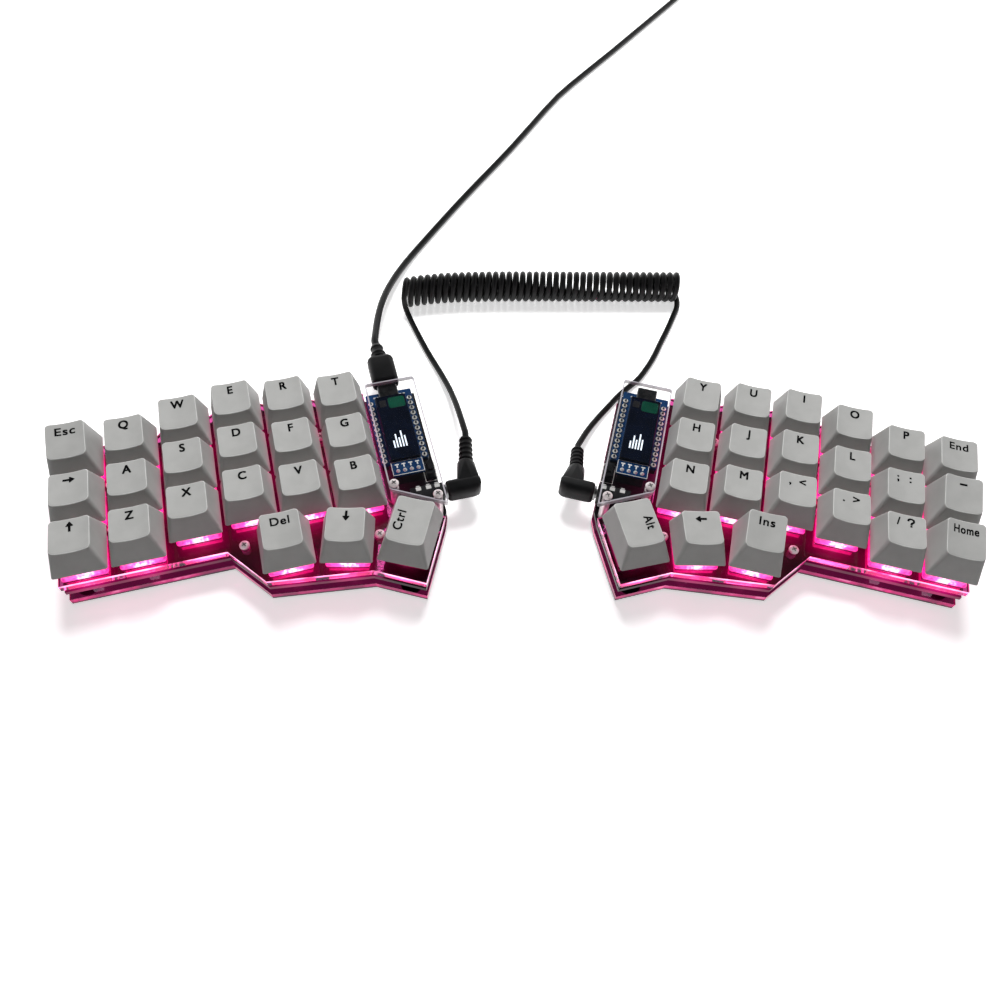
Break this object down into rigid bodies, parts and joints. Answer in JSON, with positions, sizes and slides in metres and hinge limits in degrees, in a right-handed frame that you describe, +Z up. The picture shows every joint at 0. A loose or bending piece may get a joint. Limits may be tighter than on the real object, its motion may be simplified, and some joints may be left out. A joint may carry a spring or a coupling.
{
  "type": "split keyboard",
  "caption": "Split keyboard in two angled halves: grey dished keycaps on clear switches between pink-lit clear plates, joined by a curly lead, with a USB lead and two small displays.",
  "frame": {"origin": "on the table, under the middle of the space the two halves cover", "axes": "+X to the user's right, +Y away from the user, +Z up"},
  "size_m": [0.342, 0.5152, 0.0324],
  "materials": {
    "clear_acrylic": "polished laser-cut sheet, lit pink by the lamps under it",
    "cover_acrylic": "polished laser-cut clear sheet",
    "black_circuit_board": "satin black solder mask",
    "clear_switch_plastic": "clear moulding, lit pink from below",
    "spring_steel": "bare drawn wire",
    "plated_steel": "bright plated",
    "black_rubber": "matt",
    "display_glass": "dark glass on a blue board",
    "blue_circuit_board": "glossy blue solder mask",
    "black_moulding": "satin moulded plastic",
    "cord_jacket": "satin cord jacket",
    "grey_keycap": "fine spark texture on moulded plastic"
  },
  "bodies": {
    "halves": {"bottom_plates": "clear_acrylic", "circuit_boards": "black_circuit_board", "switch_plates": "clear_acrylic", "switch_housings": "clear_switch_plastic", "key_springs": "spring_steel", "screws_and_standoffs": "plated_steel", "rubber_feet": "black_rubber", "display_covers": "cover_acrylic", "displays": "display_glass", "controllers": "blue_circuit_board", "jack_sockets": "black_moulding", "jack_plugs": "black_moulding", "curly_lead": "cord_jacket", "usb_plugs": "black_moulding", "usb_lead": "cord_jacket", "usb_lead_coil": "cord_jacket"},
    "key_esc": {"key_esc": "grey_keycap"},
    "key_q": {"key_q": "grey_keycap"},
    "key_w": {"key_w": "grey_keycap"},
    "key_e": {"key_e": "grey_keycap"},
    "key_r": {"key_r": "grey_keycap"},
    "key_t": {"key_t": "grey_keycap"},
    "key_arrow_right": {"key_arrow_right": "grey_keycap"},
    "key_a": {"key_a": "grey_keycap"},
    "key_s": {"key_s": "grey_keycap"},
    "key_d": {"key_d": "grey_keycap"},
    "key_f": {"key_f": "grey_keycap"},
    "key_g": {"key_g": "grey_keycap"},
    "key_arrow_up": {"key_arrow_up": "grey_keycap"},
    "key_z": {"key_z": "grey_keycap"},
    "key_x": {"key_x": "grey_keycap"},
    "key_c": {"key_c": "grey_keycap"},
    "key_v": {"key_v": "grey_keycap"},
    "key_b": {"key_b": "grey_keycap"},
    "key_delete": {"key_delete": "grey_keycap"},
    "key_arrow_down": {"key_arrow_down": "grey_keycap"},
    "key_ctrl": {"key_ctrl": "grey_keycap"},
    "key_end": {"key_end": "grey_keycap"},
    "key_p": {"key_p": "grey_keycap"},
    "key_o": {"key_o": "grey_keycap"},
    "key_i": {"key_i": "grey_keycap"},
    "key_u": {"key_u": "grey_keycap"},
    "key_y": {"key_y": "grey_keycap"},
    "key_dash": {"key_dash": "grey_keycap"},
    "key_semicolon": {"key_semicolon": "grey_keycap"},
    "key_l": {"key_l": "grey_keycap"},
    "key_k": {"key_k": "grey_keycap"},
    "key_j": {"key_j": "grey_keycap"},
    "key_h": {"key_h": "grey_keycap"},
    "key_home": {"key_home": "grey_keycap"},
    "key_slash": {"key_slash": "grey_keycap"},
    "key_period": {"key_period": "grey_keycap"},
    "key_comma": {"key_comma": "grey_keycap"},
    "key_m": {"key_m": "grey_keycap"},
    "key_n": {"key_n": "grey_keycap"},
    "key_insert": {"key_insert": "grey_keycap"},
    "key_arrow_left": {"key_arrow_left": "grey_keycap"},
    "key_alt": {"key_alt": "grey_keycap"},
    "reset_button_left": {"reset_button_left": "black_moulding"},
    "reset_button_right": {"reset_button_right": "black_moulding"}
  },
  "joints": [
    {"name": "key_esc_press", "type": "slide", "parent": "halves", "child": "key_esc", "axis": [0, 0, -1], "range_m": [0, 0.004], "stiffness_N_per_m": 62, "springref_m": -0.0056, "deforming": ["key_springs"]},
    {"name": "key_q_press", "type": "slide", "parent": "halves", "child": "key_q", "axis": [0, 0, -1], "range_m": [0, 0.004], "stiffness_N_per_m": 62, "springref_m": -0.0056, "deforming": ["key_springs"]},
    {"name": "key_w_press", "type": "slide", "parent": "halves", "child": "key_w", "axis": [0, 0, -1], "range_m": [0, 0.004], "stiffness_N_per_m": 62, "springref_m": -0.0056, "deforming": ["key_springs"]},
    {"name": "key_e_press", "type": "slide", "parent": "halves", "child": "key_e", "axis": [0, 0, -1], "range_m": [0, 0.004], "stiffness_N_per_m": 62, "springref_m": -0.0056, "deforming": ["key_springs"]},
    {"name": "key_r_press", "type": "slide", "parent": "halves", "child": "key_r", "axis": [0, 0, -1], "range_m": [0, 0.004], "stiffness_N_per_m": 62, "springref_m": -0.0056, "deforming": ["key_springs"]},
    {"name": "key_t_press", "type": "slide", "parent": "halves", "child": "key_t", "axis": [0, 0, -1], "range_m": [0, 0.004], "stiffness_N_per_m": 62, "springref_m": -0.0056, "deforming": ["key_springs"]},
    {"name": "key_arrow_right_press", "type": "slide", "parent": "halves", "child": "key_arrow_right", "axis": [0, 0, -1], "range_m": [0, 0.004], "stiffness_N_per_m": 62, "springref_m": -0.0056, "deforming": ["key_springs"]},
    {"name": "key_a_press", "type": "slide", "parent": "halves", "child": "key_a", "axis": [0, 0, -1], "range_m": [0, 0.004], "stiffness_N_per_m": 62, "springref_m": -0.0056, "deforming": ["key_springs"]},
    {"name": "key_s_press", "type": "slide", "parent": "halves", "child": "key_s", "axis": [0, 0, -1], "range_m": [0, 0.004], "stiffness_N_per_m": 62, "springref_m": -0.0056, "deforming": ["key_springs"]},
    {"name": "key_d_press", "type": "slide", "parent": "halves", "child": "key_d", "axis": [0, 0, -1], "range_m": [0, 0.004], "stiffness_N_per_m": 62, "springref_m": -0.0056, "deforming": ["key_springs"]},
    {"name": "key_f_press", "type": "slide", "parent": "halves", "child": "key_f", "axis": [0, 0, -1], "range_m": [0, 0.004], "stiffness_N_per_m": 62, "springref_m": -0.0056, "deforming": ["key_springs"]},
    {"name": "key_g_press", "type": "slide", "parent": "halves", "child": "key_g", "axis": [0, 0, -1], "range_m": [0, 0.004], "stiffness_N_per_m": 62, "springref_m": -0.0056, "deforming": ["key_springs"]},
    {"name": "key_arrow_up_press", "type": "slide", "parent": "halves", "child": "key_arrow_up", "axis": [0, 0, -1], "range_m": [0, 0.004], "stiffness_N_per_m": 62, "springref_m": -0.0056, "deforming": ["key_springs"]},
    {"name": "key_z_press", "type": "slide", "parent": "halves", "child": "key_z", "axis": [0, 0, -1], "range_m": [0, 0.004], "stiffness_N_per_m": 62, "springref_m": -0.0056, "deforming": ["key_springs"]},
    {"name": "key_x_press", "type": "slide", "parent": "halves", "child": "key_x", "axis": [0, 0, -1], "range_m": [0, 0.004], "stiffness_N_per_m": 62, "springref_m": -0.0056, "deforming": ["key_springs"]},
    {"name": "key_c_press", "type": "slide", "parent": "halves", "child": "key_c", "axis": [0, 0, -1], "range_m": [0, 0.004], "stiffness_N_per_m": 62, "springref_m": -0.0056, "deforming": ["key_springs"]},
    {"name": "key_v_press", "type": "slide", "parent": "halves", "child": "key_v", "axis": [0, 0, -1], "range_m": [0, 0.004], "stiffness_N_per_m": 62, "springref_m": -0.0056, "deforming": ["key_springs"]},
    {"name": "key_b_press", "type": "slide", "parent": "halves", "child": "key_b", "axis": [0, 0, -1], "range_m": [0, 0.004], "stiffness_N_per_m": 62, "springref_m": -0.0056, "deforming": ["key_springs"]},
    {"name": "key_delete_press", "type": "slide", "parent": "halves", "child": "key_delete", "axis": [0, 0, -1], "range_m": [0, 0.004], "stiffness_N_per_m": 62, "springref_m": -0.0056, "deforming": ["key_springs"]},
    {"name": "key_arrow_down_press", "type": "slide", "parent": "halves", "child": "key_arrow_down", "axis": [0, 0, -1], "range_m": [0, 0.004], "stiffness_N_per_m": 62, "springref_m": -0.0056, "deforming": ["key_springs"]},
    {"name": "key_ctrl_press", "type": "slide", "parent": "halves", "child": "key_ctrl", "axis": [0, 0, -1], "range_m": [0, 0.004], "stiffness_N_per_m": 62, "springref_m": -0.0056, "deforming": ["key_springs"]},
    {"name": "key_end_press", "type": "slide", "parent": "halves", "child": "key_end", "axis": [0, 0, -1], "range_m": [0, 0.004], "stiffness_N_per_m": 62, "springref_m": -0.0056, "deforming": ["key_springs"]},
    {"name": "key_p_press", "type": "slide", "parent": "halves", "child": "key_p", "axis": [0, 0, -1], "range_m": [0, 0.004], "stiffness_N_per_m": 62, "springref_m": -0.0056, "deforming": ["key_springs"]},
    {"name": "key_o_press", "type": "slide", "parent": "halves", "child": "key_o", "axis": [0, 0, -1], "range_m": [0, 0.004], "stiffness_N_per_m": 62, "springref_m": -0.0056, "deforming": ["key_springs"]},
    {"name": "key_i_press", "type": "slide", "parent": "halves", "child": "key_i", "axis": [0, 0, -1], "range_m": [0, 0.004], "stiffness_N_per_m": 62, "springref_m": -0.0056, "deforming": ["key_springs"]},
    {"name": "key_u_press", "type": "slide", "parent": "halves", "child": "key_u", "axis": [0, 0, -1], "range_m": [0, 0.004], "stiffness_N_per_m": 62, "springref_m": -0.0056, "deforming": ["key_springs"]},
    {"name": "key_y_press", "type": "slide", "parent": "halves", "child": "key_y", "axis": [0, 0, -1], "range_m": [0, 0.004], "stiffness_N_per_m": 62, "springref_m": -0.0056, "deforming": ["key_springs"]},
    {"name": "key_dash_press", "type": "slide", "parent": "halves", "child": "key_dash", "axis": [0, 0, -1], "range_m": [0, 0.004], "stiffness_N_per_m": 62, "springref_m": -0.0056, "deforming": ["key_springs"]},
    {"name": "key_semicolon_press", "type": "slide", "parent": "halves", "child": "key_semicolon", "axis": [0, 0, -1], "range_m": [0, 0.004], "stiffness_N_per_m": 62, "springref_m": -0.0056, "deforming": ["key_springs"]},
    {"name": "key_l_press", "type": "slide", "parent": "halves", "child": "key_l", "axis": [0, 0, -1], "range_m": [0, 0.004], "stiffness_N_per_m": 62, "springref_m": -0.0056, "deforming": ["key_springs"]},
    {"name": "key_k_press", "type": "slide", "parent": "halves", "child": "key_k", "axis": [0, 0, -1], "range_m": [0, 0.004], "stiffness_N_per_m": 62, "springref_m": -0.0056, "deforming": ["key_springs"]},
    {"name": "key_j_press", "type": "slide", "parent": "halves", "child": "key_j", "axis": [0, 0, -1], "range_m": [0, 0.004], "stiffness_N_per_m": 62, "springref_m": -0.0056, "deforming": ["key_springs"]},
    {"name": "key_h_press", "type": "slide", "parent": "halves", "child": "key_h", "axis": [0, 0, -1], "range_m": [0, 0.004], "stiffness_N_per_m": 62, "springref_m": -0.0056, "deforming": ["key_springs"]},
    {"name": "key_home_press", "type": "slide", "parent": "halves", "child": "key_home", "axis": [0, 0, -1], "range_m": [0, 0.004], "stiffness_N_per_m": 62, "springref_m": -0.0056, "deforming": ["key_springs"]},
    {"name": "key_slash_press", "type": "slide", "parent": "halves", "child": "key_slash", "axis": [0, 0, -1], "range_m": [0, 0.004], "stiffness_N_per_m": 62, "springref_m": -0.0056, "deforming": ["key_springs"]},
    {"name": "key_period_press", "type": "slide", "parent": "halves", "child": "key_period", "axis": [0, 0, -1], "range_m": [0, 0.004], "stiffness_N_per_m": 62, "springref_m": -0.0056, "deforming": ["key_springs"]},
    {"name": "key_comma_press", "type": "slide", "parent": "halves", "child": "key_comma", "axis": [0, 0, -1], "range_m": [0, 0.004], "stiffness_N_per_m": 62, "springref_m": -0.0056, "deforming": ["key_springs"]},
    {"name": "key_m_press", "type": "slide", "parent": "halves", "child": "key_m", "axis": [0, 0, -1], "range_m": [0, 0.004], "stiffness_N_per_m": 62, "springref_m": -0.0056, "deforming": ["key_springs"]},
    {"name": "key_n_press", "type": "slide", "parent": "halves", "child": "key_n", "axis": [0, 0, -1], "range_m": [0, 0.004], "stiffness_N_per_m": 62, "springref_m": -0.0056, "deforming": ["key_springs"]},
    {"name": "key_insert_press", "type": "slide", "parent": "halves", "child": "key_insert", "axis": [0, 0, -1], "range_m": [0, 0.004], "stiffness_N_per_m": 62, "springref_m": -0.0056, "deforming": ["key_springs"]},
    {"name": "key_arrow_left_press", "type": "slide", "parent": "halves", "child": "key_arrow_left", "axis": [0, 0, -1], "range_m": [0, 0.004], "stiffness_N_per_m": 62, "springref_m": -0.0056, "deforming": ["key_springs"]},
    {"name": "key_alt_press", "type": "slide", "parent": "halves", "child": "key_alt", "axis": [0, 0, -1], "range_m": [0, 0.004], "stiffness_N_per_m": 62, "springref_m": -0.0056, "deforming": ["key_springs"]},
    {"name": "reset_button_left_press", "type": "slide", "parent": "halves", "child": "reset_button_left", "axis": [0, 0, -1], "range_m": [0, 0.00025], "stiffness_N_per_m": 200, "springref_m": -0.004},
    {"name": "reset_button_right_press", "type": "slide", "parent": "halves", "child": "reset_button_right", "axis": [0, 0, -1], "range_m": [0, 0.00025], "stiffness_N_per_m": 200, "springref_m": -0.004}
  ]
}
